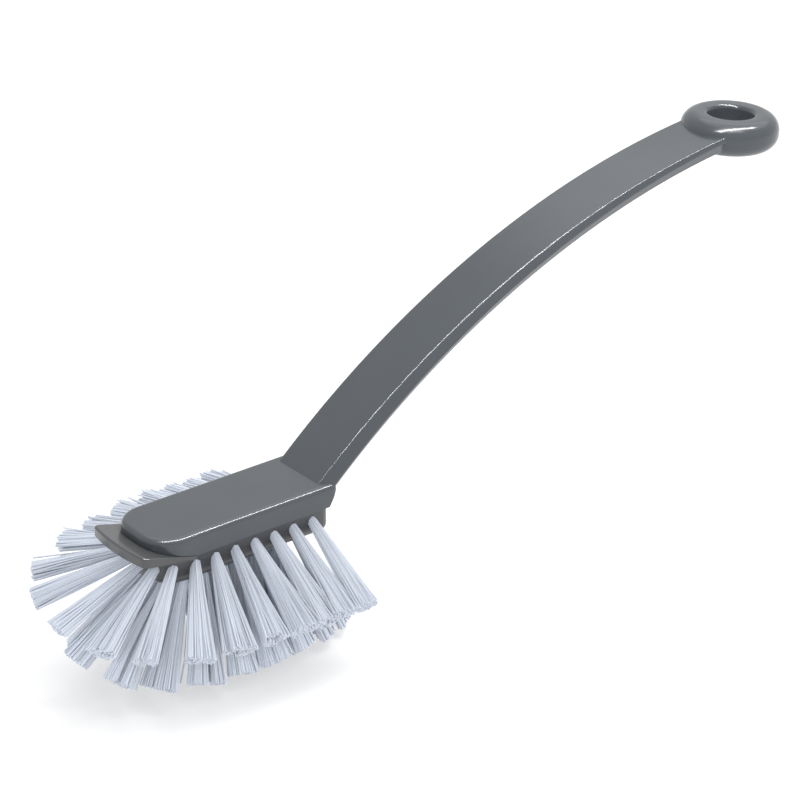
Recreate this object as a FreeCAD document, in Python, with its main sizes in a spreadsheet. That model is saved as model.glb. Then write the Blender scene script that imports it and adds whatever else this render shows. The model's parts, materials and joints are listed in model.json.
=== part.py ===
import FreeCAD, Part
import math
import os
import Sketcher

# Dish brush: an arched handle with a cap and a hanging ring, a drilled block with a scraper lip,
# and bristle tufts held in the block by flat wire anchors.
# Millimetres. X runs from the head to the ring and Z is up. The two mouldings are symmetric about the
# XZ plane. The tufts of the upper row are not: they hang lower on one side than on the other.
# The shapes are drawn with X = 0 at the crease where the handle rises from the cap and Z = 0 at the
# cap's flat top. At the end every piece is moved so that the origin is the middle of the base.

Vector = FreeCAD.Vector
Placement = FreeCAD.Placement
Rotation = FreeCAD.Rotation

DRIVING_SIZES = [
    # Cap over the head
    ("cap_width", 28.0),
    ("cap_height", 7.4),
    ("cap_top", 2.4),
    ("nose_reach", 64.0),
    ("heel_reach", 6.0),
    ("nose_corner", 10.5),
    ("heel_corner", 2.6),
    ("heel_wall", 0.8),
    ("heel_undercut", 3.9),
    ("cap_edge_round", 1.9),
    # Arched handle, sized at its foot and at its ring end
    ("arch_radius", 321.0),
    ("foot_angle", 41.0),
    ("end_angle", 6.2),
    ("foot_sunk", 4.0),
    ("face_foot_width", 20.6),
    ("face_end_width", 21.9),
    ("flank_foot_width", 27.6),
    ("flank_end_width", 23.1),
    ("flank_foot_drop", 3.4),
    ("flank_end_drop", 1.4),
    ("sole_inset", 1.6),
    ("handle_thickness", 5.4),
    ("handle_edge_round", 0.8),
    # Hanging ring
    ("ring_radius", 12.5),
    ("ring_width", 9.3),
    ("ring_height", 12.0),
    ("ring_inner_round", 1.8),
    ("ring_outer_round", 5.4),
    ("ring_reach", 11.2),
    ("ring_drop", 4.15),
    ("ring_tilt", 2.9),
    # Block under the cap, with the plug that seats in the cap
    ("block_width", 22.0),
    ("block_bottom", 18.0),
    ("block_centre", 50.5),
    ("block_heel_reach", 4.6),
    ("block_heel_corner", 3.5),
    ("block_bottom_round", 3.0),
    ("plug_inset", 1.0),
    ("plug_heel_gap", 4.0),
    ("seat_gap", 0.15),
    # Scraper lip at the nose
    ("lip_width", 29.0),
    ("lip_reach", 71.2),
    ("lip_bow", 1.9),
    ("lip_root", 50.0),
    ("lip_front_drop", 1.35),
    ("lip_front_thickness", 3.6),
    ("lip_root_thickness", 0.9),
    ("lip_corner", 2.4),
    ("lip_edge_round", 0.6),
    # Tufts and their holes
    ("hole_diameter", 3.0),
    ("tuft_gap", 0.1),
    ("tuft_tip_diameter", 6.6),
    ("tuft_neck", 3.0),
    ("tuft_pitch", 7.6),
    ("first_tuft_reach", 2.75),
    ("upper_drop", 12.4),
    ("upper_length", 34.9),
    ("upper_hole_depth", 5.4),
    ("upper_dip", 20.6),
    ("upper_lean", 10.2),
    ("upper_rear_heading", 87.7),
    ("lower_path_width", 14.0),
    ("lower_pitch", 7.3),
    ("lower_length", 36.2),
    ("lower_hole_depth", 5.2),
    ("lower_dip", 64.3),
    ("lower_front_lift", 30.0),
    ("lower_rear_heading", 150.0),
    ("middle_length", 36.0),
    ("middle_hole_depth", 5.5),
    # Flat wire anchors
    ("anchor_width", 3.6),
    ("anchor_height", 1.5),
    ("anchor_thickness", 0.45),
    ("anchor_gap", 0.1),
    ("anchor_floor", 0.8),
]

UPPER_SIDE_COUNT = 7
UPPER_FRONT_COUNT = 5
LOWER_SIDE_COUNT = 7
LOWER_FRONT_COUNT = 3
MIDDLE_COUNT = 5
# How quickly the headings of a row turn from forward to sideways, going back from the nose
UPPER_TURN = 3.0
LOWER_TURN = 1.14
LOWER_LIFT_FADE = 4
# How far the outline of a cut runs past the piece that it cuts
OVERRUN = 1.0
# Coordinates this close count as equal
CLOSE = 0.01
# A direction whose upright part is larger than this counts as upright
UPRIGHT = 0.999

# Sizes that follow from the driving ones
BLOCK_HALF = "sizes.block_width / 2"
BLOCK_CENTRE = "-sizes.block_centre"
PLUG_HALF = "sizes.block_width / 2 - sizes.plug_inset"
PLUG_HEEL = "sizes.block_heel_reach - sizes.plug_heel_gap"
LIP_HALF = "sizes.lip_width / 2"
LIP_SIDE_REACH = "sizes.lip_bow - sizes.lip_reach"
LIP_FRONT_RADIUS = "(sizes.lip_width ^ 2 / 4 + sizes.lip_bow ^ 2) / (2 * sizes.lip_bow)"
RING_BORE = "sizes.ring_radius - sizes.ring_width / 2"
RING_RIM = "sizes.ring_radius + sizes.ring_width / 2"
ANCHOR_SLOT = "sizes.anchor_thickness + 2 * sizes.anchor_gap"
CUT_WIDTH = "sizes.cap_width + %g" % (2 * OVERRUN)
CUT_FLOOR = "-sizes.cap_height - %g" % OVERRUN

doc = FreeCAD.newDocument("dish_brush")
sheet = doc.addObject("Spreadsheet::Sheet", "sizes")
for number, (alias, value) in enumerate(DRIVING_SIZES, start=1):
    sheet.set("A%d" % number, alias)
    sheet.set("B%d" % number, str(value))
    sheet.setAlias("B%d" % number, alias)
doc.recompute()


def size(alias):
    """The value of a driving size, read from the spreadsheet."""
    return float(sheet.get(alias))


def expressed(text):
    """The value of an expression that names driving sizes with the prefix sizes."""
    return float(sheet.evalExpression(text))


def origin_plane(body, role):
    """One of a body's own origin planes."""
    return [feature for feature in body.Origin.OriginFeatures if feature.Role == role][0]


def new_sketch(body, name, role):
    """A sketch on one of the body's origin planes."""
    sketch = body.newObject("Sketcher::SketchObject", name)
    sketch.AttachmentSupport = [(origin_plane(body, role), "")]
    sketch.MapMode = "FlatFace"
    return sketch


def bind_point(sketch, edge, end, across, along):
    """Tie one end of a sketch edge to two expressions, its distances from the sketch's origin."""
    for kind, text in (("DistanceX", across), ("DistanceY", along)):
        rule = Sketcher.Constraint(kind, -1, 1, edge, end, expressed(text))
        sketch.setExpression("Constraints[%d]" % sketch.addConstraint(rule), text)


def draw_polygon(sketch, corners):
    """A closed polygon whose corners are pairs of expressions."""
    points = [Vector(expressed(across), expressed(along), 0) for across, along in corners]
    count = len(points)
    for index in range(count):
        sketch.addGeometry(Part.LineSegment(points[index], points[(index + 1) % count]))
    for index in range(count):
        sketch.addConstraint(Sketcher.Constraint("Coincident", index, 2, (index + 1) % count, 1))
    for index, (across, along) in enumerate(corners):
        bind_point(sketch, index, 1, across, along)


def draw_bullet(sketch, half_width, centre, heel):
    """A long outline with a half-round front: heel line, two sides and the front arc."""
    half, middle, rear = expressed(half_width), expressed(centre), expressed(heel)
    sketch.addGeometry(Part.LineSegment(Vector(rear, -half, 0), Vector(rear, half, 0)))
    sketch.addGeometry(Part.LineSegment(Vector(rear, half, 0), Vector(middle, half, 0)))
    circle = Part.Circle(Vector(middle, 0, 0), Vector(0, 0, 1), half)
    sketch.addGeometry(Part.ArcOfCircle(circle, math.pi / 2, 3 * math.pi / 2))
    sketch.addGeometry(Part.LineSegment(Vector(middle, -half, 0), Vector(rear, -half, 0)))
    for kind, edge in (("Coincident", 0), ("Tangent", 1), ("Coincident", 2), ("Coincident", 3)):
        sketch.addConstraint(Sketcher.Constraint(kind, edge, 2, (edge + 1) % 4, 1))
    bind_point(sketch, 0, 1, heel, "-(%s)" % half_width)
    bind_point(sketch, 0, 2, heel, half_width)
    bind_point(sketch, 1, 2, centre, half_width)
    bind_point(sketch, 2, 2, centre, "-(%s)" % half_width)


def draw_lip_trim(sketch):
    """What lies in front of the lip's bowed edge: the bow's arc and a box round its outer side."""
    half, radius = expressed(LIP_HALF), expressed(LIP_FRONT_RADIUS)
    circle = Part.Circle(Vector(radius - size("lip_reach"), 0, 0), Vector(0, 0, 1), radius)
    turn = math.asin(half / radius)
    sketch.addGeometry(Part.ArcOfCircle(circle, math.pi - turn, math.pi + turn))
    front = "-sizes.lip_reach - %g" % OVERRUN
    outer = "%s + %g" % (LIP_HALF, OVERRUN)
    corners = [
        (LIP_SIDE_REACH, "-" + LIP_HALF),
        (LIP_SIDE_REACH, "-(%s)" % outer),
        (front, "-(%s)" % outer),
        (front, outer),
        (LIP_SIDE_REACH, outer),
        (LIP_SIDE_REACH, LIP_HALF),
    ]
    points = [Vector(expressed(across), expressed(along), 0) for across, along in corners]
    for start, stop in zip(points, points[1:]):
        sketch.addGeometry(Part.LineSegment(start, stop))
    count = len(corners)
    for edge in range(count):
        sketch.addConstraint(Sketcher.Constraint("Coincident", edge, 2, (edge + 1) % count, 1))
    for edge, (across, along) in enumerate(corners):
        bind_point(sketch, edge, 2, across, along)
    rule = Sketcher.Constraint("Radius", 0, radius)
    sketch.setExpression("Constraints[%d]" % sketch.addConstraint(rule), LIP_FRONT_RADIUS)


def draw_ring_section(sketch, bore, rim, half_height, inner_round, outer_round):
    """The ring's section beside the sketch's vertical axis, with tight inner and wide outer corners."""
    near, far, half = expressed(bore), expressed(rim), expressed(half_height)
    tight, wide = expressed(inner_round), expressed(outer_round)
    inner_end = "%s + %s" % (bore, inner_round)
    outer_end = "%s - %s" % (rim, outer_round)
    lines = [
        ((bore, "%s - %s" % (half_height, inner_round)), (bore, "%s - %s" % (inner_round, half_height))),
        ((inner_end, "-" + half_height), (outer_end, "-" + half_height)),
        ((rim, "%s - %s" % (outer_round, half_height)), (rim, "%s - %s" % (half_height, outer_round))),
        ((outer_end, half_height), (inner_end, half_height)),
    ]
    corners = [
        (near + tight, tight - half, tight, math.pi),
        (far - wide, wide - half, wide, 3 * math.pi / 2),
        (far - wide, half - wide, wide, 0),
        (near + tight, half - tight, tight, math.pi / 2),
    ]
    for (start, stop), (across, along, radius, turn) in zip(lines, corners):
        ends = [Vector(expressed(point[0]), expressed(point[1]), 0) for point in (start, stop)]
        sketch.addGeometry(Part.LineSegment(*ends))
        circle = Part.Circle(Vector(across, along, 0), Vector(0, 0, 1), radius)
        sketch.addGeometry(Part.ArcOfCircle(circle, turn, turn + math.pi / 2))
    count = 2 * len(lines)
    for edge in range(0, count, 2):
        sketch.addConstraint(Sketcher.Constraint("Tangent", edge, 2, edge + 1, 1))
        sketch.addConstraint(Sketcher.Constraint("Coincident", edge + 1, 2, (edge + 2) % count, 1))
    for number, (start, stop) in enumerate(lines):
        bind_point(sketch, 2 * number, 1, *start)
        bind_point(sketch, 2 * number, 2, *stop)


def pad(body, name, sketch, length, upward=True):
    """Pad a sketch by an expression."""
    feature = body.newObject("PartDesign::Pad", name)
    feature.Profile = sketch
    feature.setExpression("Length", length)
    feature.Reversed = not upward
    doc.recompute()
    return feature


def pad_across(body, name, sketch, width):
    """Pad a side profile equally to both sides of the middle plane."""
    feature = body.newObject("PartDesign::Pad", name)
    feature.Profile = sketch
    feature.setExpression("Length", width)
    feature.Midplane = True
    doc.recompute()
    return feature


def cut_across(body, name, sketch, width):
    """Cut a side profile away over the whole width."""
    feature = body.newObject("PartDesign::Pocket", name)
    feature.Profile = sketch
    feature.setExpression("Length", width)
    feature.Midplane = True
    doc.recompute()
    return feature


def cut_down(body, name, sketch):
    """Cut away everything that lies below a level sketch."""
    feature = body.newObject("PartDesign::Pocket", name)
    feature.Profile = sketch
    feature.Type = "ThroughAll"
    doc.recompute()
    return feature


def round_edges(body, name, feature, wanted, radius):
    """Fillet the edges of a feature that pass a test."""
    names = ["Edge%d" % (index + 1) for index, edge in enumerate(feature.Shape.Edges) if wanted(edge)]
    fillet = body.newObject("PartDesign::Fillet", name)
    fillet.Base = (feature, names)
    fillet.setExpression("Radius", radius)
    doc.recompute()
    return fillet


def is_upright(edge):
    """A straight edge along Z."""
    first, last = edge.firstVertex().Point, edge.lastVertex().Point
    return abs(first.x - last.x) < CLOSE and abs(first.y - last.y) < CLOSE


def lies_level(edge, height):
    """An edge that lies in the level plane at a height."""
    box = edge.BoundBox
    return abs(box.ZMin - height) < CLOSE and abs(box.ZMax - height) < CLOSE


def is_along_arch(edge):
    """One of the handle's long edges, which run over more than half of the arch."""
    arch_length = size("arch_radius") * math.radians(size("foot_angle") - size("end_angle"))
    return edge.Length > arch_length / 2


def is_lip_rim(edge):
    """An edge round the lip's top face, from one end of the lip's root to the other."""
    slope = (size("cap_height") - size("lip_front_drop")) / (size("lip_reach") - size("lip_root"))
    middle = edge.valueAt((edge.FirstParameter + edge.LastParameter) / 2)
    top = -size("cap_height") + slope * (-size("lip_root") - middle.x)
    return abs(middle.z - top) < CLOSE and middle.x < -size("lip_root") - CLOSE


def arch_point(angle):
    """The point of the handle's top line where its slope is the given angle in degrees."""
    foot, here = math.radians(size("foot_angle")), math.radians(angle)
    radius = size("arch_radius")
    return (radius * (math.sin(foot) - math.sin(here)), radius * (math.cos(here) - math.cos(foot)))


def handle_section(body, name, angle, face, flank, drop):
    """The handle's six-cornered section, square to its top line where the slope is the given angle."""
    sketch = new_sketch(body, name, "YZ_Plane")
    reach, rise = arch_point(angle)
    sketch.AttachmentOffset = Placement(Vector(0, rise, reach), Rotation(Vector(1, 0, 0), -angle))
    sole = "%s - 2 * sizes.sole_inset" % flank
    draw_polygon(sketch, [
        ("-%s / 2" % face, "0"),
        ("%s / 2" % face, "0"),
        ("%s / 2" % flank, "-%s" % drop),
        ("(%s) / 2" % sole, "-sizes.handle_thickness"),
        ("-(%s) / 2" % sole, "-sizes.handle_thickness"),
        ("-%s / 2" % flank, "-%s" % drop),
    ])
    return sketch


def make_handle():
    """The handle moulding: cap, arched handle and hanging ring in one piece."""
    body = doc.addObject("PartDesign::Body", "handle")
    plan = new_sketch(body, "cap_plan", "XY_Plane")
    draw_polygon(plan, [
        ("-sizes.nose_reach", "-sizes.cap_width / 2"),
        ("sizes.heel_reach", "-sizes.cap_width / 2"),
        ("sizes.heel_reach", "sizes.cap_width / 2"),
        ("-sizes.nose_reach", "sizes.cap_width / 2"),
    ])
    cap = pad(body, "cap", plan, "sizes.cap_height", upward=False)
    cap = round_edges(body, "nose_corners", cap,
                      lambda edge: is_upright(edge) and edge.CenterOfMass.x < 0, "sizes.nose_corner")
    cap = round_edges(body, "heel_corners", cap,
                      lambda edge: is_upright(edge) and edge.CenterOfMass.x > 0, "sizes.heel_corner")
    round_edges(body, "cap_edge", cap, lambda edge: lies_level(edge, 0), "sizes.cap_edge_round")

    heel = new_sketch(body, "heel_slope", "XZ_Plane")
    draw_polygon(heel, [
        ("sizes.heel_reach", "-sizes.heel_wall"),
        ("sizes.heel_reach - sizes.heel_undercut", "-sizes.cap_height"),
        ("sizes.heel_reach - sizes.heel_undercut", CUT_FLOOR),
        ("sizes.heel_reach + %g" % OVERRUN, CUT_FLOOR),
        ("sizes.heel_reach + %g" % OVERRUN, "-sizes.heel_wall"),
    ])
    cut_across(body, "heel_cut", heel, CUT_WIDTH)

    sunk_angle = size("foot_angle") + math.degrees(size("foot_sunk") / size("arch_radius"))
    foot = handle_section(body, "foot_section", sunk_angle, "sizes.face_foot_width",
                          "sizes.flank_foot_width", "sizes.flank_foot_drop")
    end = handle_section(body, "end_section", size("end_angle"), "sizes.face_end_width",
                         "sizes.flank_end_width", "sizes.flank_end_drop")
    spine = new_sketch(body, "arch_line", "XZ_Plane")
    radius = size("arch_radius")
    centre = Vector(radius * math.sin(math.radians(size("foot_angle"))),
                    -radius * math.cos(math.radians(size("foot_angle"))), 0)
    circle = Part.Circle(centre, Vector(0, 0, 1), radius)
    spine.addGeometry(Part.ArcOfCircle(circle, math.radians(90 + size("end_angle")),
                                       math.radians(90 + sunk_angle)))
    doc.recompute()
    arch = body.newObject("PartDesign::AdditivePipe", "arch")
    arch.Profile = foot
    arch.Spine = spine
    arch.Sections = [end]
    arch.Transformation = "Multisection"
    arch.Mode = "Frenet"
    doc.recompute()
    arch = round_edges(body, "arch_edges", arch, is_along_arch, "sizes.handle_edge_round")

    ring = new_sketch(body, "ring_section", "XZ_Plane")
    end_reach, end_rise = arch_point(size("end_angle"))
    slope = math.radians(size("end_angle"))
    ring_x = end_reach + size("ring_reach") * math.cos(slope) + size("ring_drop") * math.sin(slope)
    ring_z = end_rise + size("ring_reach") * math.sin(slope) - size("ring_drop") * math.cos(slope)
    tilt = Rotation(Vector(0, 0, 1), -size("ring_tilt"))
    ring.AttachmentOffset = Placement(Vector(ring_x, ring_z, 0), tilt)
    draw_ring_section(ring, RING_BORE, RING_RIM, "sizes.ring_height / 2", "sizes.ring_inner_round",
                      "sizes.ring_outer_round")
    loop = body.newObject("PartDesign::Revolution", "ring")
    loop.Profile = ring
    loop.ReferenceAxis = (ring, ["V_Axis"])
    loop.Angle = 360
    doc.recompute()

    nose = new_sketch(body, "lip_seat", "XZ_Plane")
    draw_polygon(nose, [
        ("-sizes.lip_root", "-sizes.cap_height + sizes.seat_gap"),
        ("-sizes.lip_reach", "-sizes.lip_front_drop + sizes.seat_gap"),
        ("-sizes.lip_reach", CUT_FLOOR),
        ("-sizes.lip_root", CUT_FLOOR),
    ])
    cut_across(body, "lip_seat_cut", nose, CUT_WIDTH)

    cavity = new_sketch(body, "cavity_plan", "XY_Plane")
    cavity.setExpression("AttachmentOffset.Base.z", "-sizes.cap_top")
    draw_bullet(cavity, PLUG_HALF + " + sizes.seat_gap", BLOCK_CENTRE, PLUG_HEEL + " + sizes.seat_gap")
    cut_down(body, "cavity", cavity)
    return body


def make_block_body():
    """The undrilled block: lower body, plug and scraper lip."""
    body = doc.addObject("PartDesign::Body", "block_body")
    side = new_sketch(body, "lip_side", "XZ_Plane")
    draw_polygon(side, [
        ("-sizes.lip_root", "-sizes.cap_height"),
        ("-sizes.lip_reach", "-sizes.lip_front_drop"),
        ("-sizes.lip_reach", "-sizes.lip_front_drop - sizes.lip_front_thickness"),
        ("-sizes.lip_root", "-sizes.cap_height - sizes.lip_root_thickness"),
    ])
    pad_across(body, "lip", side, "sizes.lip_width")
    trim = new_sketch(body, "lip_trim", "XY_Plane")
    draw_lip_trim(trim)
    lip = cut_down(body, "lip_front", trim)
    lip = round_edges(body, "lip_corners", lip,
                      lambda edge: is_upright(edge) and edge.CenterOfMass.x < -size("lip_root") - CLOSE,
                      "sizes.lip_corner")
    round_edges(body, "lip_rim", lip, is_lip_rim, "sizes.lip_edge_round")

    plan = new_sketch(body, "block_plan", "XY_Plane")
    plan.setExpression("AttachmentOffset.Base.z", "-sizes.block_bottom")
    draw_bullet(plan, BLOCK_HALF, BLOCK_CENTRE, "sizes.block_heel_reach")
    block = pad(body, "block", plan, "sizes.block_bottom - sizes.cap_height")
    block = round_edges(body, "block_heel", block,
                        lambda edge: is_upright(edge) and edge.CenterOfMass.x > 0, "sizes.block_heel_corner")
    round_edges(body, "block_sole", block,
                lambda edge: lies_level(edge, -size("block_bottom")), "sizes.block_bottom_round")

    plug_plan = new_sketch(body, "plug_plan", "XY_Plane")
    plug_plan.setExpression("AttachmentOffset.Base.z", "-sizes.cap_height")
    draw_bullet(plug_plan, PLUG_HALF, BLOCK_CENTRE, PLUG_HEEL)
    pad(body, "plug", plug_plan, "sizes.cap_height - sizes.cap_top - sizes.seat_gap")
    return body


def row_roots(half_width, depth, first_reach, pitch, side_count, front_count):
    """Roots of a row, from the near heel round the nose to the far heel, with shares of the half path."""
    centre = -size("block_centre")
    quarter = half_width * math.pi / 2
    half_path = quarter - first_reach - centre
    roots = []
    for step in range(side_count):
        reach = -first_reach - step * pitch
        roots.append((reach, -half_width, (quarter + reach - centre) / half_path))
    for step in range(front_count):
        turn = math.pi * (step + 1) / (front_count + 1) - math.pi / 2
        point = (centre - half_width * math.cos(turn), half_width * math.sin(turn))
        roots.append(point + (abs(turn) * half_width / half_path,))
    for reach, across, share in reversed(roots[:side_count]):
        roots.append((reach, -across, share))
    return [(Vector(reach, across, -depth), share) for reach, across, share in roots]


def aim(root, heading, dip):
    """A tuft's direction: its heading turns from straight forward to its own side, its dip points down."""
    turn, fall = math.radians(heading), math.radians(dip)
    side = -1 if root.y < 0 else 1
    level = math.cos(fall)
    return Vector(-math.cos(turn) * level, side * math.sin(turn) * level, -math.sin(fall))


def upper_tufts():
    """Roots and directions of the upper row, which stands out nearly level all round the head."""
    first_reach = size("first_tuft_reach")
    roots = row_roots(size("block_width") / 2, size("upper_drop"), first_reach, size("tuft_pitch"),
                      UPPER_SIDE_COUNT, UPPER_FRONT_COUNT)
    for root, share in roots:
        heading = size("upper_rear_heading") * (1 - (1 - share) ** UPPER_TURN)
        side = -1 if root.y < 0 else 1
        dip = size("upper_dip") - side * size("upper_lean") * math.sin(math.radians(heading))
        yield root, aim(root, heading, dip)


def lower_tufts():
    """Roots and directions of the lower row, which points back at the heel and forward at the nose."""
    first_reach = size("first_tuft_reach") + size("tuft_pitch") / 2
    roots = row_roots(size("lower_path_width") / 2, size("block_bottom"), first_reach, size("lower_pitch"),
                      LOWER_SIDE_COUNT, LOWER_FRONT_COUNT)
    for root, share in roots:
        heading = size("lower_rear_heading") * (1 - (1 - share) ** LOWER_TURN)
        dip = size("lower_dip") - size("lower_front_lift") * (1 - share) ** LOWER_LIFT_FADE
        yield root, aim(root, heading, dip)


def middle_tufts():
    """Roots and directions of the tufts along the middle of the sole."""
    for step in range(MIDDLE_COUNT):
        reach = size("first_tuft_reach") + (step + 1) * size("tuft_pitch")
        yield Vector(-reach, 0, -size("block_bottom")), Vector(0, 0, -1)


def tuft_frame(root, direction):
    """A placement at a tuft's root with Z along the tuft and X in an upright plane."""
    level = Vector(0, 1, 0)
    if abs(direction.z) < UPRIGHT:
        level = Vector(0, 0, 1).cross(direction)
    return Placement(root, Rotation(level.cross(direction), level, direction, "ZXY"))


def bound(kind, name, **expressions):
    """A primitive whose sizes are expressions."""
    item = doc.addObject(kind, name)
    for setting, text in expressions.items():
        item.setExpression(setting.replace("__", "."), text)
    return item


def centred_bar(name, wide, thick, tall, floor):
    """A box centred on the tuft's axis, standing on a floor along it."""
    return bound("Part::Box", name, Length=wide, Width=thick, Height=tall,
                 Placement__Base__x="-(%s) / 2" % wide, Placement__Base__y="-(%s) / 2" % thick,
                 Placement__Base__z=floor)


def place_in(frame, item):
    """Move a primitive that was made about the origin into a tuft's frame."""
    doc.recompute()
    local = item.Placement
    for setting in ("x", "y", "z"):
        item.setExpression("Placement.Base." + setting, None)
    item.Placement = frame.multiply(local)


def make_tuft(name, frame, length, depth):
    """One tuft: a straight stem folded round its anchor, then a flare to the trimmed tip."""
    stem_radius = "sizes.hole_diameter / 2 - sizes.tuft_gap"
    stem = bound("Part::Cylinder", name + "_stem", Radius=stem_radius,
                 Height="%s - sizes.tuft_gap + sizes.tuft_neck" % depth,
                 Placement__Base__z="sizes.tuft_gap - %s" % depth)
    flare = bound("Part::Cone", name + "_flare", Radius1=stem_radius, Radius2="sizes.tuft_tip_diameter / 2",
                  Height="%s - sizes.tuft_neck" % length, Placement__Base__z="sizes.tuft_neck")
    bundle = doc.addObject("Part::Fuse", name + "_bundle")
    bundle.Base, bundle.Tool = stem, flare
    window = centred_bar(name + "_window", "sizes.hole_diameter", ANCHOR_SLOT,
                         "sizes.anchor_height + 2 * sizes.anchor_gap",
                         "sizes.anchor_floor - sizes.anchor_gap - %s" % depth)
    tuft = doc.addObject("Part::Cut", name)
    tuft.Base, tuft.Tool = bundle, window
    tuft.Placement = frame
    return tuft


def make_seat(name, frame, depth):
    """The drilled hole, the anchor's slot and the anchor of one tuft."""
    hole = bound("Part::Cylinder", name + "_hole", Radius="sizes.hole_diameter / 2",
                 Height="%s + sizes.tuft_neck" % depth, Placement__Base__z="-%s" % depth)
    slot = centred_bar(name + "_slot", "sizes.anchor_width + 2 * sizes.anchor_gap", ANCHOR_SLOT,
                       "%s - sizes.anchor_floor + sizes.anchor_gap + sizes.tuft_neck" % depth,
                       "sizes.anchor_floor - sizes.anchor_gap - %s" % depth)
    anchor = centred_bar(name + "_anchor", "sizes.anchor_width", "sizes.anchor_thickness",
                         "sizes.anchor_height", "sizes.anchor_floor - %s" % depth)
    for item in (hole, slot, anchor):
        place_in(frame, item)
    return hole, slot, anchor


def gather(name, members):
    """Several objects as one compound."""
    compound = doc.addObject("Part::Compound", name)
    compound.Links = members
    return compound


def make_bristles():
    """All tufts, with the tools that cut their holes and slots, and their anchors."""
    rows = [
        ("tuft_upper", upper_tufts(), "sizes.upper_length", "sizes.upper_hole_depth"),
        ("tuft_lower", lower_tufts(), "sizes.lower_length", "sizes.lower_hole_depth"),
        ("tuft_middle", middle_tufts(), "sizes.middle_length", "sizes.middle_hole_depth"),
    ]
    tufts, seats = [], []
    for row, places, length, depth in rows:
        for number, (root, direction) in enumerate(places, start=1):
            name = "%s_%02d" % (row, number)
            frame = tuft_frame(root, direction)
            tufts.append(make_tuft(name, frame, length, depth))
            seats.append(make_seat(name, frame, depth))
    holes, slots, anchors = zip(*seats)
    drills = gather("holes", list(holes))
    notches = gather("slots", list(slots))
    return tufts, drills, notches, gather("tuft_anchors", list(anchors))


def cut(name, base, tool):
    """One shape less another."""
    result = doc.addObject("Part::Cut", name)
    result.Base, result.Tool = base, tool
    return result


def stand_on_origin(pieces):
    """Move every piece so that the origin is the middle of the base of the whole brush."""
    box = FreeCAD.BoundBox()
    for piece in pieces:
        box.add(piece.Shape.optimalBoundingBox(True, False))
    shift = Placement(Vector(-box.Center.x, -box.Center.y, -box.ZMin), Rotation())
    for piece in pieces:
        piece.Placement = shift.multiply(piece.Placement)
    doc.recompute()
    print("origin moved by", shift.Base)


def write(pieces):
    """Stop on any failed object or shape, then write one file for each piece."""
    for item in doc.Objects:
        if "Invalid" in item.State or "Error" in item.State:
            raise RuntimeError("%s failed: %s" % (item.Name, item.State))
    for piece in pieces:
        if piece.Shape.isNull() or not piece.Shape.isValid():
            raise RuntimeError("%s has no valid shape" % piece.Label)
    os.makedirs("parts", exist_ok=True)
    for piece in pieces:
        piece.Shape.exportStep("parts/%s.step" % piece.Label)


handle = make_handle()
tufts, holes, slots, anchors = make_bristles()
drilled = cut("drilled_block", make_block_body(), holes)
block = cut("bristle_block", drilled, slots)
doc.recompute()
pieces = [handle, block, anchors] + tufts
stand_on_origin(pieces)
write(pieces)
print(len(pieces), "pieces")
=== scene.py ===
import json
import math

import bpy
import numpy as np
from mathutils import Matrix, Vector

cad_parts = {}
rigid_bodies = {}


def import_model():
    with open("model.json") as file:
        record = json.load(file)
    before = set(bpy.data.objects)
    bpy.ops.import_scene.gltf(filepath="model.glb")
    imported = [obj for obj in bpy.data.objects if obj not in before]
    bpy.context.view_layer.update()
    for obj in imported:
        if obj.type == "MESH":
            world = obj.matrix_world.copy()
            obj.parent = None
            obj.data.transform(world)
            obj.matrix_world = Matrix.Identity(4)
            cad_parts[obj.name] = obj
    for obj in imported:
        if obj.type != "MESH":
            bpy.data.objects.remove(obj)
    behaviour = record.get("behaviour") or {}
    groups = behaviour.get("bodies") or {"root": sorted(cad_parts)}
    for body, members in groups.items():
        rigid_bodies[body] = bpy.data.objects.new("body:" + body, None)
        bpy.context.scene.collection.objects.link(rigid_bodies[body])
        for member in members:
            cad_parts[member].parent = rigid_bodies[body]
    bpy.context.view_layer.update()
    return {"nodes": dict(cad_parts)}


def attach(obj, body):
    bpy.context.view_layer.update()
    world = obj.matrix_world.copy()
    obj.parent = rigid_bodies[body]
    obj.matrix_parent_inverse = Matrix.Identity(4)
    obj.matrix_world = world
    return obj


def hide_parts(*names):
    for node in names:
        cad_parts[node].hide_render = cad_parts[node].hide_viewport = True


# Dish brush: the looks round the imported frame.
# The handle, the block and the anchors keep their solids and get their finishes here.
# The bristle tufts are replaced by filaments that a node tree grows out of the same holes.

bl_info = {
    "name": "Dish brush",
    "version": (1, 0, 0),
    "blender": (4, 5, 0),
    "location": "View3D > Sidebar > Dish brush",
    "description": "Finishes the mouldings of a dish brush and grows its bristles",
    "category": "Object",
}

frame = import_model()
MM = 0.001
IMAGE_SIDE = 800
WHITE = (1.0, 1.0, 1.0, 1.0)

# The camera of the photograph, in the frame of the part
CAMERA_TARGET = Vector((-19.67, -1.63, 80.25)) * MM
CAMERA_DISTANCE = 973.3 * MM
CAMERA_AZIMUTH = -0.668
CAMERA_ELEVATION = 0.444
CAMERA_LENS = 135.0
CAMERA_SENSOR = 36.0
CAMERA_SHIFT = (16.44 / IMAGE_SIDE, -30.12 / IMAGE_SIDE)
CAMERA_RANGE = (0.05, 50.0)

# The floor, with the light that it gives off like a photographer's light table
FLOOR_HALF_SIDE = 12.0
FLOOR_GLOW = 0.50
SKY_STRENGTH = 0.8
# A distant light overhead, softened over an angle
OVERHEAD_PLACE = (0.42, 0.18, 0.89)
OVERHEAD_TARGET = (0.0, 0.0, 0.0)
OVERHEAD_SPREAD = 1.2
OVERHEAD_STRENGTH = 0.95
# A small soft light above the hanging ring
RING_LIGHT_PLACE = (0.08, -0.16, 0.6)
RING_LIGHT_TARGET = (0.13, 0.0, 0.12)
RING_LIGHT_SIDE = 0.25
RING_LIGHT_POWER = 1.0
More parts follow.
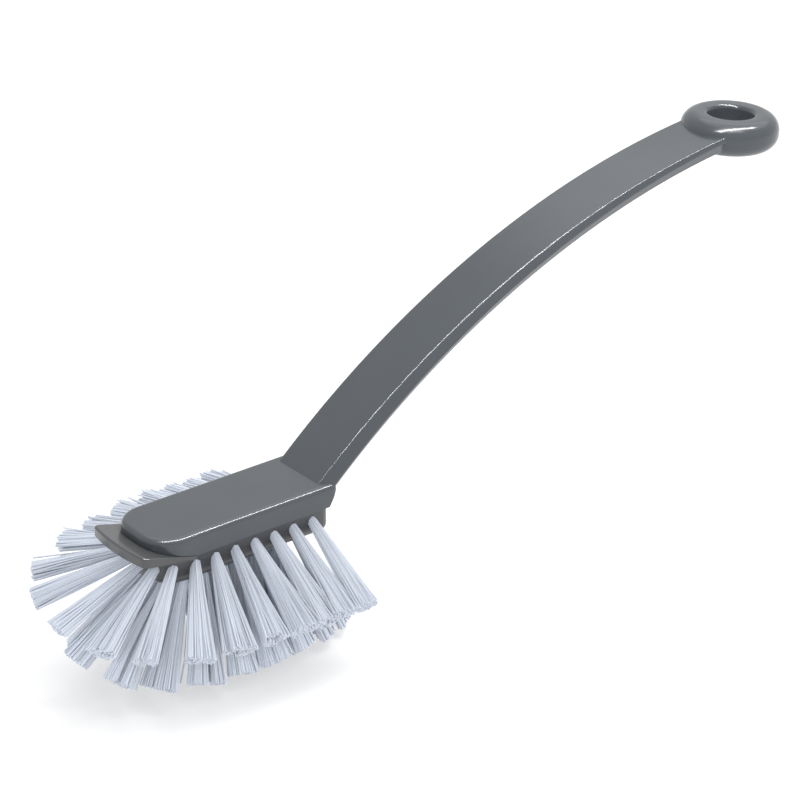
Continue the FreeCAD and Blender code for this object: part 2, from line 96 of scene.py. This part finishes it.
# A long strip that only shows as the gloss along the near edges
STRIP_PLACE = (0.05, -0.18, 1.05)
STRIP_TARGET = (0.05, 0.0, 0.08)
STRIP_LENGTH = 1.4
STRIP_WIDTH = 0.10
STRIP_POWER = 23.0
# Lights that fall on the bristles alone, set evenly round the head
HEAD_CENTRE = (-85.0 * MM, 0.0, 30.0 * MM)
FILL_COUNT = 4
FILL_ELEVATION = 0.42
FILL_DISTANCE = 0.9
FILL_SIDE = 0.35
FILL_POWER = 4.6

# The part of a noise's range that the two tones of a mottle lie between
MOTTLE_RANGE = (0.35, 0.65)
MOTTLE_DETAIL = 3.0
RELIEF_DETAIL = 4.0
# The darkest and the lightest filament, as shares of the bristle colour
FILAMENT_TONES = (0.90, 1.06)

ROWS = ("tuft_upper", "tuft_lower", "tuft_middle")
ROW_SEEDS = {"tuft_upper": 11, "tuft_lower": 23, "tuft_middle": 37}
# How much wider than the upper row a row opens at its tips
ROW_OPENINGS = {"tuft_upper": 1.0, "tuft_lower": 1.35, "tuft_middle": 1.3}
# How much the tufts of one row differ in their opening
OPENING_RANGE = (0.85, 1.12)
# Length of a tuft's inner end, deep in its hole, that grows no filaments
HIDDEN_ROOT = 4.2 * MM
# Strands into which the filaments of a tuft part
STRANDS = 6
# The turn from one filament to the next, and how much of that turn a filament may stray
GOLDEN_TURN = math.pi * (3 - math.sqrt(5))
STRAY_TURN = 0.4
# Powers that keep most strands close together and most filaments nearly straight
PARTING_POWER = 4.0
BEND_POWER = 6.0
# Share of the uneven trim that is a filament's own; the rest it has from its strand
OWN_TRIM = 0.5
# Power by which a bend grows along a filament
BEND_CURVE = 2.0
# Points along a filament and sides of its tube
FILAMENT_STATIONS = 4
FILAMENT_SIDES = 5
# Width of a filament in its hole, where the bundle is tight, as a share of its width at the tip
ROOT_WIDTH = 0.5
# Values that the node tree keeps for its own work
WORKING_VALUES = ("root", "aim", "level", "reach", "tuft", "opening", "turn", "spread",
                  "strand_turn", "strand_size", "short", "bend_turn", "bend_size")

# Measuring a tuft's solid: digits its points are rounded to, depth of its ends, rounds of fitting
POINT_DIGITS = 7
END_DEPTH = 0.3 * MM
AXIS_ROUNDS = 3
# A tuft whose direction has a larger upright part than this counts as upright
UPRIGHT = 0.999


class BrushSizes(bpy.types.PropertyGroup):
    """Sizes of the bristles that a user would change"""
    filament_width: bpy.props.FloatProperty(
        name="Filament width", description="Thickness of one bristle filament at its tip",
        default=0.00064, min=0.0001, unit="LENGTH")
    filament_count: bpy.props.IntProperty(
        name="Filaments", description="Filament ends in each tuft", default=270, min=1)
    root_radius: bpy.props.FloatProperty(
        name="Root radius", description="Radius of a tuft in its hole",
        default=0.00145, min=0.0001, unit="LENGTH")
    tip_radius: bpy.props.FloatProperty(
        name="Tip radius", description="Half the width of an upper tuft's fan at its trimmed end",
        default=0.0043, min=0.0001, unit="LENGTH")
    fan_thickness: bpy.props.FloatProperty(
        name="Fan thickness", description="Thickness of a tuft's trimmed end, as a share of its width",
        default=0.45, min=0.05, max=1.0, subtype="FACTOR")
    trim: bpy.props.FloatProperty(
        name="Uneven trim", description="Share of its length that a filament may fall short",
        default=0.042, min=0.0, max=0.5, subtype="FACTOR")
    bend: bpy.props.FloatProperty(
        name="Bend", description="How far a filament's tip may bend aside",
        default=0.0022, min=0.0, unit="LENGTH")
    parting: bpy.props.FloatProperty(
        name="Parting", description="How far the strands of a tuft stand apart at the tip",
        default=0.0022, min=0.0, unit="LENGTH")


class BrushColours(bpy.types.PropertyGroup):
    """Colours of the brush and of the floor"""
    handle: bpy.props.FloatVectorProperty(
        name="Handle", description="Plastic of the handle, cap and ring",
        subtype="COLOR", size=3, default=(0.078, 0.088, 0.099), min=0.0, max=1.0)
    block: bpy.props.FloatVectorProperty(
        name="Block", description="Plastic of the bristle block and its scraper lip",
        subtype="COLOR", size=3, default=(0.088, 0.090, 0.094), min=0.0, max=1.0)
    bristle: bpy.props.FloatVectorProperty(
        name="Bristles", description="Nylon of the filaments",
        subtype="COLOR", size=3, default=(0.46, 0.497, 0.564), min=0.0, max=1.0)
    anchor: bpy.props.FloatVectorProperty(
        name="Anchors", description="Wire that holds the tufts",
        subtype="COLOR", size=3, default=(0.55, 0.55, 0.56), min=0.0, max=1.0)
    floor: bpy.props.FloatVectorProperty(
        name="Floor", description="Floor under the brush",
        subtype="COLOR", size=3, default=(0.56, 0.56, 0.56), min=0.0, max=1.0)


def new_material(name):
    """A new material, with its node tree and its shader."""
    material = bpy.data.materials.new(name)
    material.use_nodes = True
    tree = material.node_tree
    return material, tree, tree.nodes["Principled BSDF"]


def two_tones(tree, colour, low, high):
    """A colour ramp between a darker and a lighter tone of one colour."""
    ramp = tree.nodes.new("ShaderNodeValToRGB")
    for stop, share in zip(ramp.color_ramp.elements, (low, high)):
        stop.color = [min(1.0, channel * share) for channel in colour] + [1.0]
    return ramp


def varied_colour(tree, shader, colour, scale, strength):
    """Feed the shader's colour from a soft noise round a mean colour."""
    place = tree.nodes.new("ShaderNodeTexCoord")
    noise = tree.nodes.new("ShaderNodeTexNoise")
    noise.inputs["Scale"].default_value = scale
    noise.inputs["Detail"].default_value = MOTTLE_DETAIL
    ramp = two_tones(tree, colour, 1 - strength, 1 + strength)
    for stop, position in zip(ramp.color_ramp.elements, MOTTLE_RANGE):
        stop.position = position
    tree.links.new(place.outputs["Object"], noise.inputs["Vector"])
    tree.links.new(noise.outputs["Fac"], ramp.inputs["Fac"])
    tree.links.new(ramp.outputs["Color"], shader.inputs["Base Color"])
    return place


def fine_relief(tree, shader, place, scale, strength, distance):
    """A fine surface: bump from a noise, which is given back for the roughness."""
    noise = tree.nodes.new("ShaderNodeTexNoise")
    noise.inputs["Scale"].default_value = scale
    noise.inputs["Detail"].default_value = RELIEF_DETAIL
    bump = tree.nodes.new("ShaderNodeBump")
    bump.inputs["Strength"].default_value = strength
    bump.inputs["Distance"].default_value = distance
    tree.links.new(place.outputs["Object"], noise.inputs["Vector"])
    tree.links.new(noise.outputs["Fac"], bump.inputs["Height"])
    tree.links.new(bump.outputs["Normal"], shader.inputs["Normal"])
    return noise


def varied_roughness(tree, shader, noise, low, high):
    """Roughness that follows a noise between two values."""
    spread = tree.nodes.new("ShaderNodeMapRange")
    spread.inputs["To Min"].default_value = low
    spread.inputs["To Max"].default_value = high
    tree.links.new(noise.outputs["Fac"], spread.inputs["Value"])
    tree.links.new(spread.outputs["Result"], shader.inputs["Roughness"])


def moulded_plastic(name, colour):
    """Satin moulded plastic with a faint mottle and a fine surface."""
    material, tree, shader = new_material(name)
    place = varied_colour(tree, shader, colour, scale=60.0, strength=0.025)
    noise = fine_relief(tree, shader, place, scale=700.0, strength=0.03, distance=0.0002)
    varied_roughness(tree, shader, noise, low=0.14, high=0.24)
    shader.inputs["IOR"].default_value = 1.49
    return material


def bristle_nylon(colour):
    """Nylon with a soft sheen, in which each filament has its own tone."""
    material, tree, shader = new_material("bristle_nylon")
    tone = tree.nodes.new("ShaderNodeAttribute")
    tone.attribute_name = "tone"
    ramp = two_tones(tree, colour, *FILAMENT_TONES)
    tree.links.new(tone.outputs["Fac"], ramp.inputs["Fac"])
    tree.links.new(ramp.outputs["Color"], shader.inputs["Base Color"])
    shader.inputs["Roughness"].default_value = 0.6
    shader.inputs["Sheen Weight"].default_value = 0.4
    shader.inputs["Sheen Roughness"].default_value = 0.4
    shader.inputs["Sheen Tint"].default_value = (0.86, 0.91, 1.0, 1.0)
    shader.inputs["IOR"].default_value = 1.53
    return material


def anchor_wire(colour):
    """Wire metal with a faint mottle and a fine surface."""
    material, tree, shader = new_material("anchor_wire")
    place = varied_colour(tree, shader, colour, scale=400.0, strength=0.08)
    noise = fine_relief(tree, shader, place, scale=2500.0, strength=0.1, distance=0.0001)
    varied_roughness(tree, shader, noise, low=0.25, high=0.4)
    shader.inputs["Metallic"].default_value = 1.0
    return material


def dress(node, material):
    """Give a solid of the frame its finish."""
    mesh = frame["nodes"][node].data
    mesh.materials.clear()
    mesh.materials.append(material)


def tuft_axis(node):
    """Inner end, direction and length of a tuft, measured on its solid."""
    points = np.array([vertex.co for vertex in frame["nodes"][node].data.vertices])
    points = np.unique(np.round(points, POINT_DIGITS), axis=0)
    middle = points.mean(axis=0)
    axis = np.linalg.svd(points - middle)[2][0]
    for _ in range(AXIS_ROUNDS):
        along = (points - middle) @ axis
        low = points[along < along.min() + END_DEPTH].mean(axis=0)
        high = points[along > along.max() - END_DEPTH].mean(axis=0)
        axis = (high - low) / np.linalg.norm(high - low)
    along = (points - low) @ axis
    across = np.linalg.norm((points - low) - np.outer(along, axis), axis=1)
    half_way = along.max() / 2
    if across[along > half_way].max() < across[along < half_way].max():
        low, high, axis = high, low, -axis
    return low, axis, float(np.linalg.norm(high - low))


class BristleTree:
    """Builds the node tree that turns one point for each tuft into a bundle of filaments."""

    def __init__(self):
        self.tree = bpy.data.node_groups.new("bristle_bundles", "GeometryNodeTree")
        self.sockets = {}
        self.add_input("Geometry", "NodeSocketGeometry")
        for name in ("Filament Width", "Root Radius", "Tip Radius", "Fan Thickness", "Trim", "Bend",
                     "Parting"):
            self.add_input(name, "NodeSocketFloat")
        for name in ("Filaments", "Seed"):
            self.add_input(name, "NodeSocketInt")
        self.add_input("Material", "NodeSocketMaterial")
        self.tree.interface.new_socket("Geometry", in_out="OUTPUT",
                                       socket_type="NodeSocketGeometry")
        self.given = self.node("NodeGroupInput")
        self.build()

    def add_input(self, name, kind):
        """Add a named input, and note the identifier by which a modifier sets it."""
        socket = self.tree.interface.new_socket(name, in_out="INPUT", socket_type=kind)
        self.sockets[name] = socket.identifier

    def node(self, kind, **settings):
        """A new node with its settings."""
        node = self.tree.nodes.new(kind)
        for setting, value in settings.items():
            setattr(node, setting, value)
        return node

    def put(self, value, socket):
        """Link an output, or set a plain value, on an input."""
        if isinstance(value, bpy.types.NodeSocket):
            self.tree.links.new(value, socket)
        else:
            socket.default_value = value

    def math(self, operation, *values):
        """The result of a sum on numbers."""
        node = self.node("ShaderNodeMath", operation=operation)
        for value, socket in zip(values, node.inputs):
            self.put(value, socket)
        return node.outputs[0]

    def vector(self, operation, *values):
        """The result of a sum on vectors."""
        node = self.node("ShaderNodeVectorMath", operation=operation)
        for value, socket in zip(values, node.inputs):
            self.put(value, socket)
        return node.outputs["Vector"]

    def scaled(self, vector, factor):
        """A vector times a number."""
        node = self.node("ShaderNodeVectorMath", operation="SCALE")
        self.put(vector, node.inputs[0])
        self.put(factor, node.inputs["Scale"])
        return node.outputs["Vector"]

    def random(self, low, high, step, group=None):
        """A number between two limits for each point or each group; step sets the draws apart."""
        node = self.node("FunctionNodeRandomValue", data_type="FLOAT")
        floats = [socket for socket in node.inputs if socket.type == "VALUE"]
        self.put(low, floats[0])
        self.put(high, floats[1])
        if group is not None:
            self.put(group, node.inputs["ID"])
        self.put(self.math("ADD", self.given.outputs["Seed"], step), node.inputs["Seed"])
        return [socket for socket in node.outputs if socket.type == "VALUE"][0]

    def keep(self, geometry, name, value, kind="FLOAT"):
        """Store a value on the points under a name."""
        node = self.node("GeometryNodeStoreNamedAttribute", data_type=kind, domain="POINT")
        self.put(geometry, node.inputs["Geometry"])
        node.inputs["Name"].default_value = name
        self.put(value, node.inputs["Value"])
        return node.outputs["Geometry"]

    def recall(self, name, kind="FLOAT"):
        """Read a stored value."""
        node = self.node("GeometryNodeInputNamedAttribute", data_type=kind)
        node.inputs["Name"].default_value = name
        return node.outputs["Attribute"]

    def build(self):
        """The whole tree: points of the filaments, their lines, their tubes and their finish."""
        placed = self.node("GeometryNodeSetPosition")
        self.put(self.lines(self.filament_points()), placed.inputs["Geometry"])
        self.put(self.filament_place(), placed.inputs["Position"])
        real = self.node("GeometryNodeRealizeInstances")
        self.put(self.tubes(placed.outputs["Geometry"]), real.inputs["Geometry"])
        painted = self.node("GeometryNodeSetMaterial")
        self.put(real.outputs["Geometry"], painted.inputs["Geometry"])
        self.put(self.given.outputs["Material"], painted.inputs["Material"])
        out = self.node("NodeGroupOutput")
        self.put(painted.outputs["Geometry"], out.inputs["Geometry"])

    def filament_points(self):
        """One point for each filament, with the draws that set it apart from the others."""
        given = self.given.outputs
        points = self.node("GeometryNodeMeshToPoints")
        self.put(given["Geometry"], points.inputs["Mesh"])
        index = self.node("GeometryNodeInputIndex").outputs[0]
        tufts = self.keep(points.outputs["Points"], "tuft", index)
        tufts = self.keep(tufts, "opening", self.random(*OPENING_RANGE, 0))
        copies = self.node("GeometryNodeDuplicateElements", domain="POINT")
        self.put(tufts, copies.inputs["Geometry"])
        self.put(given["Filaments"], copies.inputs["Amount"])
        number = copies.outputs["Duplicate Index"]

        place = self.node("GeometryNodeInputPosition").outputs[0]
        filaments = self.keep(copies.outputs["Geometry"], "root", place, "FLOAT_VECTOR")
        strayed = self.math("ADD", number, self.random(0.0, STRAY_TURN, 1))
        turn = self.math("MULTIPLY", strayed, GOLDEN_TURN)
        filaments = self.keep(filaments, "turn", turn)
        reached = self.math("ADD", number, self.random(0.0, 1.0, 2))
        filled = self.math("DIVIDE", reached, given["Filaments"])
        filaments = self.keep(filaments, "spread", self.math("SQRT", filled))

        part_turn = self.math("FRACT", self.math("DIVIDE", turn, math.tau))
        sector = self.math("FLOOR", self.math("MULTIPLY", part_turn, STRANDS))
        strand = self.math("ADD", self.math("MULTIPLY", self.recall("tuft"), STRANDS), sector)
        filaments = self.keep(filaments, "strand_turn", self.random(0.0, math.tau, 3, strand))
        strand_size = self.math("POWER", self.random(0.0, 1.0, 4, strand), PARTING_POWER)
        filaments = self.keep(filaments, "strand_size", strand_size)
        short = self.math("ADD", self.random(0.0, OWN_TRIM, 5),
                          self.random(0.0, 1.0 - OWN_TRIM, 6, strand))
        filaments = self.keep(filaments, "short", short)
        filaments = self.keep(filaments, "bend_turn", self.random(0.0, math.tau, 7))
        bend_size = self.math("POWER", self.random(0.0, 1.0, 8), BEND_POWER)
        filaments = self.keep(filaments, "bend_size", bend_size)
        return self.keep(filaments, "tone", self.random(0.0, 1.0, 9))

    def lines(self, points):
        """A line of a few stations on each point."""
        line = self.node("GeometryNodeCurvePrimitiveLine")
        stations = self.node("GeometryNodeResampleCurve")
        self.put(line.outputs["Curve"], stations.inputs["Curve"])
        stations.inputs["Count"].default_value = FILAMENT_STATIONS
        planted = self.node("GeometryNodeInstanceOnPoints")
        self.put(points, planted.inputs["Points"])
        self.put(stations.outputs["Curve"], planted.inputs["Instance"])
        loose = self.node("GeometryNodeRealizeInstances")
        self.put(planted.outputs["Instances"], loose.inputs["Geometry"])
        return loose.outputs["Geometry"]

    def filament_place(self):
        """The place of a station: along the tuft, out with its flare and aside with its bend."""
        given = self.given.outputs
        share = self.node("GeometryNodeSplineParameter").outputs["Factor"]
        aim = self.recall("aim", "FLOAT_VECTOR")
        level = self.recall("level", "FLOAT_VECTOR")
        lift = self.vector("CROSS_PRODUCT", aim, level)

        fall_short = self.math("MULTIPLY", self.recall("short"), given["Trim"])
        kept = self.math("SUBTRACT", 1.0, fall_short)
        length = self.math("MULTIPLY", self.recall("reach"), kept)
        along = self.scaled(aim, self.math("MULTIPLY", length, share))

        tip_radius = self.math("MULTIPLY", given["Tip Radius"], self.recall("opening"))
        widening = self.math("SUBTRACT", tip_radius, given["Root Radius"])
        flare = self.math("MULTIPLY", widening, share)
        bundle = self.math("ADD", given["Root Radius"], flare)
        radius = self.math("MULTIPLY", bundle, self.recall("spread"))
        flatter = self.math("MULTIPLY", self.math("SUBTRACT", given["Fan Thickness"], 1.0), share)
        thin_lift = self.scaled(lift, self.math("ADD", flatter, 1.0))
        out = self.scaled(self.turned(level, thin_lift, self.recall("turn")), radius)

        parting = self.math("MULTIPLY", given["Parting"], self.recall("strand_size"))
        parted = self.math("MULTIPLY", parting, share)
        apart = self.scaled(self.turned(level, lift, self.recall("strand_turn")), parted)

        bend = self.math("MULTIPLY", given["Bend"], self.recall("bend_size"))
        bent = self.math("MULTIPLY", bend, self.math("POWER", share, BEND_CURVE))
        aside = self.scaled(self.turned(level, lift, self.recall("bend_turn")), bent)
        place = self.vector("ADD", self.recall("root", "FLOAT_VECTOR"), along)
        return self.vector("ADD", self.vector("ADD", place, out), self.vector("ADD", apart, aside))

    def turned(self, level, lift, angle):
        """A vector at an angle between two directions across the tuft."""
        first = self.scaled(level, self.math("COSINE", angle))
        second = self.scaled(lift, self.math("SINE", angle))
        return self.vector("ADD", first, second)

    def tubes(self, curves):
        """A closed tube along each filament, thinner at its root."""
        profile = self.node("GeometryNodeCurvePrimitiveCircle")
        profile.inputs["Resolution"].default_value = FILAMENT_SIDES
        radius = self.math("MULTIPLY", self.given.outputs["Filament Width"], 0.5)
        self.put(radius, profile.inputs["Radius"])
        tube = self.node("GeometryNodeCurveToMesh")
        self.put(curves, tube.inputs["Curve"])
        self.put(profile.outputs["Curve"], tube.inputs["Profile Curve"])
        tube.inputs["Fill Caps"].default_value = True
        share = self.node("GeometryNodeSplineParameter").outputs["Factor"]
        widening = self.math("MULTIPLY", share, 1.0 - ROOT_WIDTH)
        self.put(self.math("ADD", widening, ROOT_WIDTH), tube.inputs["Scale"])
        return tube.outputs["Mesh"]


def fan_direction(axis):
    """The level direction across a tuft, in which its filaments fan out."""
    if abs(axis[2]) > UPRIGHT:
        return np.array((0.0, 1.0, 0.0))
    level = np.cross((0.0, 0.0, 1.0), axis)
    return level / np.linalg.norm(level)


def store_vectors(mesh, name, vectors):
    """Store one vector for each point of a mesh."""
    layer = mesh.attributes.new(name, "FLOAT_VECTOR", "POINT")
    layer.data.foreach_set("vector", np.concatenate(vectors).astype(np.float32))


def tuft_points(row):
    """A mesh with one point for each tuft of a row, a little out from the tuft's inner end."""
    nodes = sorted(name for name in frame["nodes"] if name.startswith(row))
    ends, axes, lengths = zip(*[tuft_axis(name) for name in nodes])
    mesh = bpy.data.meshes.new(row + "_points")
    mesh.from_pydata([tuple(end + axis * HIDDEN_ROOT) for end, axis in zip(ends, axes)], [], [])
    store_vectors(mesh, "aim", axes)
    store_vectors(mesh, "level", [fan_direction(axis) for axis in axes])
    reach = mesh.attributes.new("reach", "FLOAT", "POINT")
    reach.data.foreach_set("value", np.array([length - HIDDEN_ROOT for length in lengths], np.float32))
    return mesh, nodes


def bristle_name(row):
    """The name of the piece that stands for a row of tufts."""
    return row.replace("tuft", "bristles")


def grow_row(row, tree, material, sizes):
    """One piece for a row of tufts: points, node tree, then a plain mesh."""
    mesh, nodes = tuft_points(row)
    seedling = bpy.data.objects.new(row + "_points", mesh)
    bpy.context.scene.collection.objects.link(seedling)
    modifier = seedling.modifiers.new("bristles", "NODES")
    modifier.node_group = tree.tree
    values = {
        "Filament Width": sizes.filament_width,
        "Filaments": sizes.filament_count,
        "Root Radius": sizes.root_radius,
        "Tip Radius": sizes.tip_radius * ROW_OPENINGS[row],
        "Fan Thickness": sizes.fan_thickness,
        "Trim": sizes.trim,
        "Bend": sizes.bend,
        "Parting": sizes.parting,
        "Seed": ROW_SEEDS[row],
        "Material": material,
    }
    for name, value in values.items():
        modifier[tree.sockets[name]] = value
    graph = bpy.context.evaluated_depsgraph_get()
    grown = bpy.data.meshes.new_from_object(seedling.evaluated_get(graph))
    bpy.data.objects.remove(seedling)
    if not grown.polygons:
        raise RuntimeError("no filaments grew for " + row)
    for name in WORKING_VALUES:
        if name in grown.attributes:
            grown.attributes.remove(grown.attributes[name])
    grown.shade_smooth()
    piece = bpy.data.objects.new(bristle_name(row), grown)
    bpy.context.scene.collection.objects.link(piece)
    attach(piece, "root")
    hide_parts(*nodes)
    return piece


class BRUSH_OT_finish_handle(bpy.types.Operator):
    """Give the handle moulding its plastic"""
    bl_idname = "brush.finish_handle"
    bl_label = "Finish the handle"

    def execute(self, context):
        dress("handle", moulded_plastic("handle_plastic", context.scene.brush_colours.handle))
        return {"FINISHED"}


class BRUSH_OT_finish_block(bpy.types.Operator):
    """Give the bristle block and its lip their plastic"""
    bl_idname = "brush.finish_block"
    bl_label = "Finish the block"

    def execute(self, context):
        dress("bristle_block", moulded_plastic("block_plastic", context.scene.brush_colours.block))
        return {"FINISHED"}


class BRUSH_OT_finish_anchors(bpy.types.Operator):
    """Give the anchors in the tuft holes their metal"""
    bl_idname = "brush.finish_anchors"
    bl_label = "Finish the anchors"

    def execute(self, context):
        dress("tuft_anchors", anchor_wire(context.scene.brush_colours.anchor))
        return {"FINISHED"}


class BRUSH_OT_grow_bristles(bpy.types.Operator):
    """Grow the filaments of every row of tufts"""
    bl_idname = "brush.grow_bristles"
    bl_label = "Grow the bristles"

    def execute(self, context):
        tree = BristleTree()
        material = bristle_nylon(context.scene.brush_colours.bristle)
        for row in ROWS:
            grow_row(row, tree, material, context.scene.brush_sizes)
        return {"FINISHED"}


def facing(place, target):
    """The turn that points a light or a camera at a target."""
    return (Vector(target) - Vector(place)).to_track_quat("-Z", "Y").to_euler()


def add_lamp(name, light, place, target):
    """Put a light at a place, facing a point."""
    lamp = bpy.data.objects.new(name, light)
    lamp.location = place
    lamp.rotation_euler = facing(place, target)
    bpy.context.scene.collection.objects.link(lamp)
    return lamp


def add_panel_light(name, place, target, width, height, power):
    """A soft oblong light."""
    light = bpy.data.lights.new(name, "AREA")
    light.shape = "RECTANGLE"
    light.size = width
    light.size_y = height
    light.energy = power
    return add_lamp(name, light, place, target)


def add_distant_light(name, place, target, spread, strength):
    """An even light from far away, softened over an angle."""
    light = bpy.data.lights.new(name, "SUN")
    light.angle = spread
    light.energy = strength
    return add_lamp(name, light, place, target)


def around(target, azimuth, elevation, distance):
    """A place round a target; azimuth 0 is straight in front of the brush's near side."""
    level = math.cos(elevation)
    way = Vector((math.sin(azimuth) * level, -math.cos(azimuth) * level, math.sin(elevation)))
    return target + way * distance


def receivers(name, items):
    """A group of objects for lights that fall on nothing else."""
    group = bpy.data.collections.new(name)
    for item in items:
        group.objects.link(item)
    return group


def add_key_lights(lit):
    """The lights of the mouldings and the floor: a wide one, a small one and a strip for the gloss."""
    overhead = add_distant_light("overhead", OVERHEAD_PLACE, OVERHEAD_TARGET, OVERHEAD_SPREAD,
                                 OVERHEAD_STRENGTH)
    above_ring = add_panel_light("above_ring", RING_LIGHT_PLACE, RING_LIGHT_TARGET, RING_LIGHT_SIDE,
                                 RING_LIGHT_SIDE, RING_LIGHT_POWER)
    strip = add_panel_light("edge_strip", STRIP_PLACE, STRIP_TARGET, STRIP_LENGTH, STRIP_WIDTH,
                            STRIP_POWER)
    strip.visible_diffuse = False
    for lamp in (overhead, above_ring, strip):
        lamp.light_linking.receiver_collection = lit


def add_bristle_lights(lit):
    """Low lights on the bristles alone, for the light that clear nylon passes on."""
    head = Vector(HEAD_CENTRE)
    for number in range(FILL_COUNT):
        azimuth = CAMERA_AZIMUTH + math.tau * number / FILL_COUNT
        place = around(head, azimuth, FILL_ELEVATION, FILL_DISTANCE)
        name = "bristle_fill_%d" % number
        lamp = add_panel_light(name, place, head, FILL_SIDE, FILL_SIDE, FILL_POWER)
        lamp.light_linking.receiver_collection = lit


def add_camera():
    """The camera at the photograph's angle."""
    data = bpy.data.cameras.new("camera")
    data.lens = CAMERA_LENS
    data.sensor_width = CAMERA_SENSOR
    data.shift_x, data.shift_y = CAMERA_SHIFT
    data.clip_start, data.clip_end = CAMERA_RANGE
    camera = bpy.data.objects.new("camera", data)
    camera.location = around(CAMERA_TARGET, CAMERA_AZIMUTH, CAMERA_ELEVATION, CAMERA_DISTANCE)
    camera.rotation_euler = facing(camera.location, CAMERA_TARGET)
    bpy.context.scene.collection.objects.link(camera)
    bpy.context.scene.camera = camera


def add_floor(colour):
    """A wide plain floor at the tips of the lowest tufts."""
    side = FLOOR_HALF_SIDE
    mesh = bpy.data.meshes.new("floor")
    corners = [(-side, -side, 0.0), (side, -side, 0.0), (side, side, 0.0), (-side, side, 0.0)]
    mesh.from_pydata(corners, [], [(0, 1, 2, 3)])
    floor = bpy.data.objects.new("floor", mesh)
    bpy.context.scene.collection.objects.link(floor)
    material, _, shader = new_material("floor_paper")
    shader.inputs["Base Color"].default_value = (*colour, 1.0)
    shader.inputs["Roughness"].default_value = 0.9
    shader.inputs["Emission Color"].default_value = WHITE
    shader.inputs["Emission Strength"].default_value = FLOOR_GLOW
    mesh.materials.append(material)
    return floor


def add_sky():
    """Even white light from all round."""
    world = bpy.data.worlds.new("studio")
    world.use_nodes = True
    sky = world.node_tree.nodes["Background"]
    sky.inputs["Color"].default_value = WHITE
    sky.inputs["Strength"].default_value = SKY_STRENGTH
    bpy.context.scene.world = world


class BRUSH_OT_set_stage(bpy.types.Operator):
    """Set the floor, the lights and the camera"""
    bl_idname = "brush.set_stage"
    bl_label = "Set the stage"

    def execute(self, context):
        floor = add_floor(context.scene.brush_colours.floor)
        add_sky()
        mouldings = [frame["nodes"][name] for name in ("handle", "bristle_block", "tuft_anchors")]
        add_key_lights(receivers("lit_mouldings", mouldings + [floor]))
        bristles = [bpy.data.objects[bristle_name(row)] for row in ROWS]
        add_bristle_lights(receivers("lit_bristles", bristles))
        context.scene.view_settings.view_transform = "Standard"
        add_camera()
        return {"FINISHED"}


class BRUSH_PT_sidebar(bpy.types.Panel):
    """Lists the steps that dress the brush, with its sizes and colours"""
    bl_idname = "BRUSH_PT_sidebar"
    bl_label = "Dish brush"
    bl_space_type = "VIEW_3D"
    bl_region_type = "UI"
    bl_category = "Dish brush"

    def draw(self, context):
        for operator in OPERATORS:
            self.layout.operator(operator.bl_idname)
        for group in (context.scene.brush_sizes, context.scene.brush_colours):
            for name in group.__annotations__:
                self.layout.prop(group, name)


OPERATORS = (BRUSH_OT_finish_handle, BRUSH_OT_finish_block, BRUSH_OT_finish_anchors,
             BRUSH_OT_grow_bristles, BRUSH_OT_set_stage)
CLASSES = (BrushSizes, BrushColours) + OPERATORS + (BRUSH_PT_sidebar,)


def register():
    """Register the classes and hang the settings on the scene."""
    for item in CLASSES:
        bpy.utils.register_class(item)
    bpy.types.Scene.brush_sizes = bpy.props.PointerProperty(type=BrushSizes)
    bpy.types.Scene.brush_colours = bpy.props.PointerProperty(type=BrushColours)


def unregister():
    """Take the settings and the classes away again."""
    del bpy.types.Scene.brush_sizes
    del bpy.types.Scene.brush_colours
    for item in reversed(CLASSES):
        bpy.utils.unregister_class(item)


def main():
    """Dress the brush step by step."""
    register()
    bpy.ops.brush.finish_handle()
    bpy.ops.brush.finish_block()
    bpy.ops.brush.finish_anchors()
    bpy.ops.brush.grow_bristles()
    bpy.ops.brush.set_stage()


if __name__ == "__main__":
    main()
